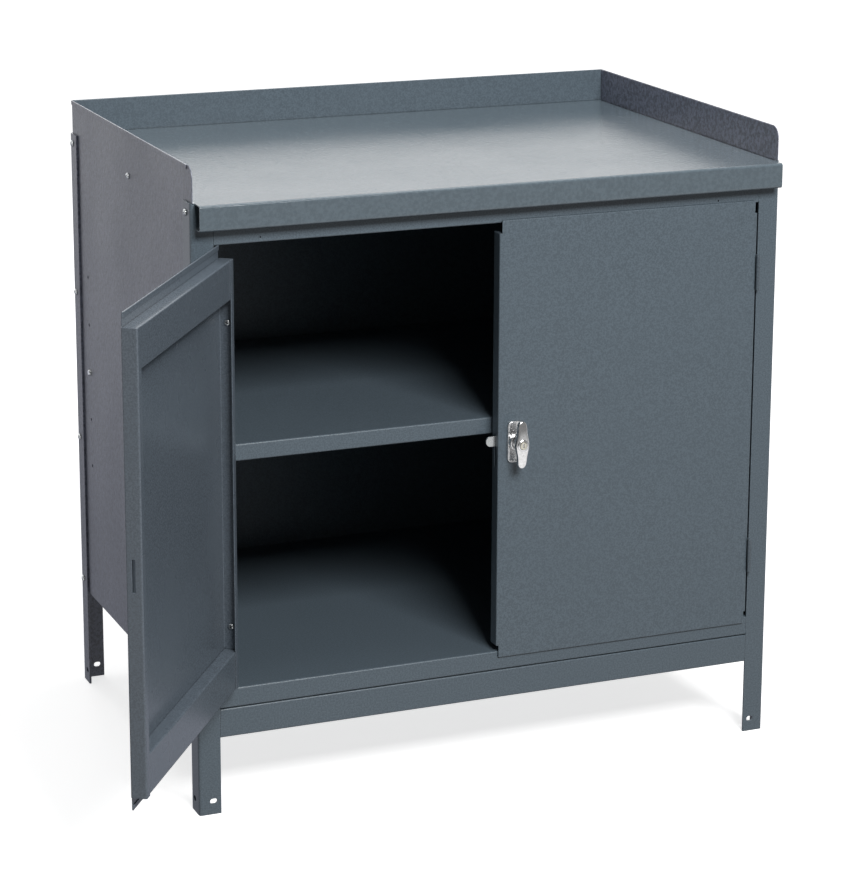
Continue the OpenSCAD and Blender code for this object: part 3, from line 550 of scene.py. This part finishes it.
def grip_width(t):
    """Half-width of the grip, in millimetres, at t from -1 at its lower end to 1 at its upper end."""
    shoulder = 7.4 + 3.6 * math.exp(-(t * 2.6) ** 2)
    end = max(0.0, 1 - abs(t) ** 9) ** 0.5
    return shoulder * end


def handle_detail():
    """Turn handle: a crowned grip with a round boss for the lock, a hub, a shaft and a threaded end."""
    shape = bmesh.new()
    half_l = (grip_high.z - grip_low.z) / 2
    back, front = 17 * MM, DOOR_FACE_Y - grip_low.y
    rows, around = 44, 40
    rings = []
    for i in range(rows + 1):
        t = -math.cos(math.pi * i / rows) * 0.9995
        half_w = max(grip_width(t) * MM, 0.4 * MM)
        crown = (0.62 + 0.38 * max(0.0, 1 - abs(t) ** 4) ** 0.5)
        depth = (front - back) * (0.74 + 0.20 * math.cos(t * math.pi / 2)) * crown
        middle = back + depth / 2 + 1.2 * MM * t * t
        ring = []
        for k in range(around):
            angle = 2 * math.pi * k / around
            c, w = math.cos(angle), math.sin(angle)
            x = half_w * math.copysign(abs(c) ** 0.62, c)
            z = middle + depth / 2 * math.copysign(abs(w) ** 0.55, w)
            ring.append((x, t * half_l, z))
        rings.append(ring)
    lofted(shape, rings)
    boss_r, plug_r = 9.2 * MM, (plug_high.x - plug_low.x) / 2
    boss = [(0, back + 2 * MM), (boss_r, back + 2 * MM), (boss_r, front - 2.4 * MM),
            (boss_r - 0.5 * MM, front - 1.0 * MM), (boss_r - 1.5 * MM, front - 0.2 * MM),
            (boss_r - 2.2 * MM, front), (plug_r + 0.7 * MM, front), (plug_r + 0.15 * MM, front - 0.5 * MM),
            (plug_r + 0.15 * MM, front - 3 * MM), (0, front - 3 * MM)]
    turned(shape, boss, segments=64)
    hub = [(0, 3.3), (9.0, 3.3), (9.0, 10.4), (8.6, 11.6), (8.1, 13.5), (8.3, 15.6), (9.4, 17.6), (9.8, 18.6),
           (0, 18.6)]
    turned(shape, [(r * MM, h * MM) for r, h in hub], segments=64)
    shaft = [(0, -9.0), (6.0, -9.0), (6.0, 4.3), (0, 4.3)]
    turned(shape, [(r * MM, h * MM) for r, h in shaft])
    half_square = 3.9 * MM
    lofted(shape, [[(x * half_square, y * half_square, z * MM) for x, y in SQUARE] for z in (-11.7, -8.5)])
    stud_end = DOOR_FACE_Y - grip_high.y
    stud = [(0, stud_end), (2.5 * MM, stud_end), (3.0 * MM, stud_end + 0.5 * MM)]
    pitch = 0.8 * MM
    height = stud_end + 0.5 * MM
    while height < -11.5 * MM:
        stud += [(2.6 * MM, height + pitch / 2), (3.0 * MM, height + pitch)]
        height += pitch
    turned(shape, stud + [(0, height)])
    piece = piece_from("handle_detail", shape, smooth_angle=40)
    piece.data.transform(OUT_OF_DOOR)
    return replacing(piece, "handle", chrome_plate)


def lock_plug_detail():
    """Key plug: a face with a raised rim and a keyway with two wards, on a barrel with a driving peg."""
    front, back = DOOR_FACE_Y - plug_low.y, DOOR_FACE_Y - plug_high.y
    radius = (plug_high.z - plug_low.z) / 2
    shape = bmesh.new()
    rim, dish = 0.9 * MM, 0.35 * MM
    turned(shape, [(0, plug_barrel_back), (radius, plug_barrel_back), (radius, front - 0.5 * MM),
                   (radius - 0.15 * MM, front - 0.15 * MM), (radius - 0.5 * MM, front), (radius - rim, front),
                   (radius - rim - 0.3 * MM, front - dish), (0, front - dish)], segments=64)
    piece = piece_from("lock_plug_detail", shape)
    depth = 9 * MM
    for half_w, low, high in ((0.8, -3.2, 3.2), (1.5, 0.9, 2.9), (1.3, -1.6, -0.7)):
        keyway = bmesh.new()
        outline = ((-half_w, low), (half_w, low), (half_w, high), (-half_w, high))
        lofted(keyway, [[(x * MM, y * MM, z) for x, y in outline] for z in (front - depth, front + 1 * MM)])
        cut(piece, piece_from("keyway", keyway))
    peg = bmesh.new()
    peg.from_mesh(piece.data)
    first = len(peg.verts)
    peg_r, peg_top = 1.2 * MM, plug_barrel_back + 0.5 * MM
    turned(peg, [(0, back), (peg_r - 0.1 * MM, back), (peg_r, back + 0.2 * MM), (peg_r, peg_top), (0, peg_top)],
           segments=32)
    peg.verts.ensure_lookup_table()
    for vert in peg.verts[first:]:
        vert.co.x += 3 * MM
    bpy.data.objects.remove(piece)
    piece = piece_from("lock_plug_detail", peg)
    piece.data.transform(OUT_OF_DOOR)
    return replacing(piece, "lock_plug", plug_plate)


escutcheon_detail()
handle_detail()
lock_plug_detail()


# ---- Stage: floor, lights, camera ----

def plane(name, size, centre):
    """A flat square, level and facing up."""
    mesh = bpy.data.meshes.new(name)
    half = size / 2
    mesh.from_pydata([(x * half, y * half, 0) for x, y in SQUARE], [], [(0, 1, 2, 3)])
    piece = bpy.data.objects.new(name, mesh)
    piece.location = centre
    bpy.context.scene.collection.objects.link(piece)
    return piece


def softbox(name, centre, target, size, power, colour=(1, 1, 1)):
    """A rectangular area light that faces its target."""
    light = bpy.data.lights.new(name, "AREA")
    light.shape = "RECTANGLE"
    light.size, light.size_y = size
    light.energy = power
    light.color = colour
    piece = bpy.data.objects.new(name, light)
    piece.location = centre
    piece.rotation_euler = (Vector(target) - Vector(centre)).to_track_quat("-Z", "Y").to_euler()
    bpy.context.scene.collection.objects.link(piece)
    return piece


def studio():
    """White to the camera, a faint fill to matt surfaces, and in reflections a studio that is bright at the
    back and on the floor in front, dark behind the camera, and dim and cool low down at the back."""
    world = bpy.data.worlds.new("studio")
    bpy.context.scene.world = world
    world.use_nodes = True
    tree = world.node_tree
    background = tree.nodes["Background"]
    split = tree.nodes.new("ShaderNodeSeparateXYZ")
    tree.links.new(place_in(tree, "Generated"), split.inputs[0])
    back = to_range(tree, split.outputs["Z"], -0.46, -0.14, 0.25, 1.2)
    low = to_range(tree, split.outputs["Z"], -0.30, -0.05, 1.0, 0.0)
    front = to_range(tree, split.outputs["Z"], -0.34, -0.10, 1.1, 0.25)
    behind = to_range(tree, split.outputs["Y"], -0.35, 0.1, 0.0, 1.0)
    sides = arithmetic(tree, "ADD", arithmetic(tree, "MULTIPLY", back, behind), arithmetic(
        tree, "MULTIPLY", front, arithmetic(tree, "SUBTRACT", 1.0, behind)))
    overhead = to_range(tree, split.outputs["Z"], 0.45, 0.8, 1.0, 0.5)
    path = tree.nodes.new("ShaderNodeLightPath")
    reflected = arithmetic(tree, "MULTIPLY", arithmetic(tree, "MULTIPLY", sides, overhead),
                           path.outputs["Is Glossy Ray"])
    matt = arithmetic(tree, "MULTIPLY", path.outputs["Is Diffuse Ray"], 0.08)
    low_behind = arithmetic(tree, "MULTIPLY", low, behind)
    cool = arithmetic(tree, "MULTIPLY", low_behind, path.outputs["Is Glossy Ray"])
    tree.links.new(mixed(tree, cool, WHITE, (0.82, 0.85, 1.0, 1.0)), background.inputs["Color"])
    lighting = arithmetic(tree, "ADD", reflected, matt)
    strength = arithmetic(tree, "ADD", lighting, path.outputs["Is Camera Ray"])
    tree.links.new(strength, background.inputs["Strength"])


def camera():
    """The view from the front left, a little above the worktop."""
    yaw, pitch, roll = math.radians(22.72), math.radians(-13.69), math.radians(0.31)
    focal_px, long_side_px = 2896.0, 896.0
    shift_px = (27.4, 120.0)
    data = bpy.data.cameras.new("camera")
    data.sensor_width = 36.0
    data.lens = focal_px / long_side_px * data.sensor_width
    data.shift_x = -shift_px[0] / long_side_px
    data.shift_y = -shift_px[1] / long_side_px
    data.clip_end = 60
    piece = bpy.data.objects.new("camera", data)
    piece.location = (-1.168, -3.712, 1.668)
    level = Matrix.Rotation(-yaw, 4, "Z") @ Matrix.Rotation(math.radians(90) + pitch, 4, "X")
    piece.rotation_euler = (level @ Matrix.Rotation(roll, 4, "Z")).to_euler()
    bpy.context.scene.collection.objects.link(piece)
    bpy.context.scene.camera = piece


floor = plane("floor", 40, (WIDTH / 2, DEPTH / 2, 0))
give(floor, floor_finish("floor_finish", 1.2, 2.6))
floor.visible_diffuse = False
floor.visible_glossy = False
studio()
centre = Vector((WIDTH / 2, DEPTH / 2, 0.5))
softbox("key", (0.6, -3.3, 3.3), centre, (1.9, 1.3), 190)
softbox("top", (0.5, 0.4, 3.2), centre, (2.4, 1.4), 34)
softbox("rear", (0.2, 4.0, 2.4), centre, (1.6, 1.6), 24)
camera()
bpy.context.scene.view_settings.view_transform = "Standard"
